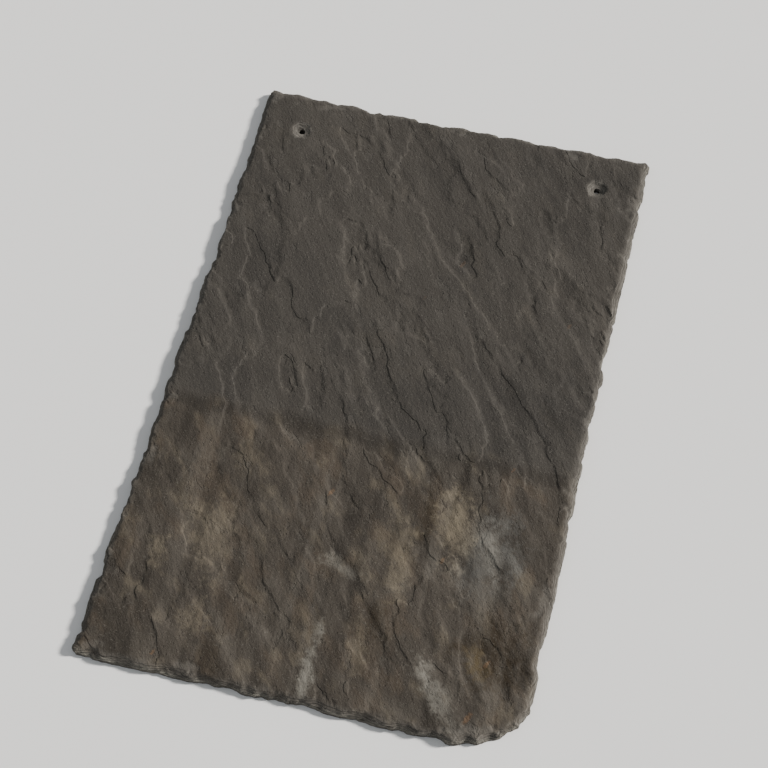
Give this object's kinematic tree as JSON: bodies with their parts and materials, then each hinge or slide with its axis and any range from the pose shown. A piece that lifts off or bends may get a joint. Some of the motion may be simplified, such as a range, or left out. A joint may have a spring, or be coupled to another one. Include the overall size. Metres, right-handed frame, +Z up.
{
  "type": "slate roof tile",
  "caption": "Natural split-stone roofing slate with hand-dressed edges, a broken tail corner, nail holes near the head and a worn seat for a wire hook at the tail.",
  "frame": {"origin": "middle of the bed, the flat underside, at the middle of the length and width", "axes": "+X across the slate, +Y from the tail to the head, +Z up through the thickness with the weather face on top"},
  "size_m": [0.25, 0.4, 0.007],
  "materials": {
    "slate": "satin"
  },
  "bodies": {
    "root": {"slate": "slate"}
  },
  "joints": []
}
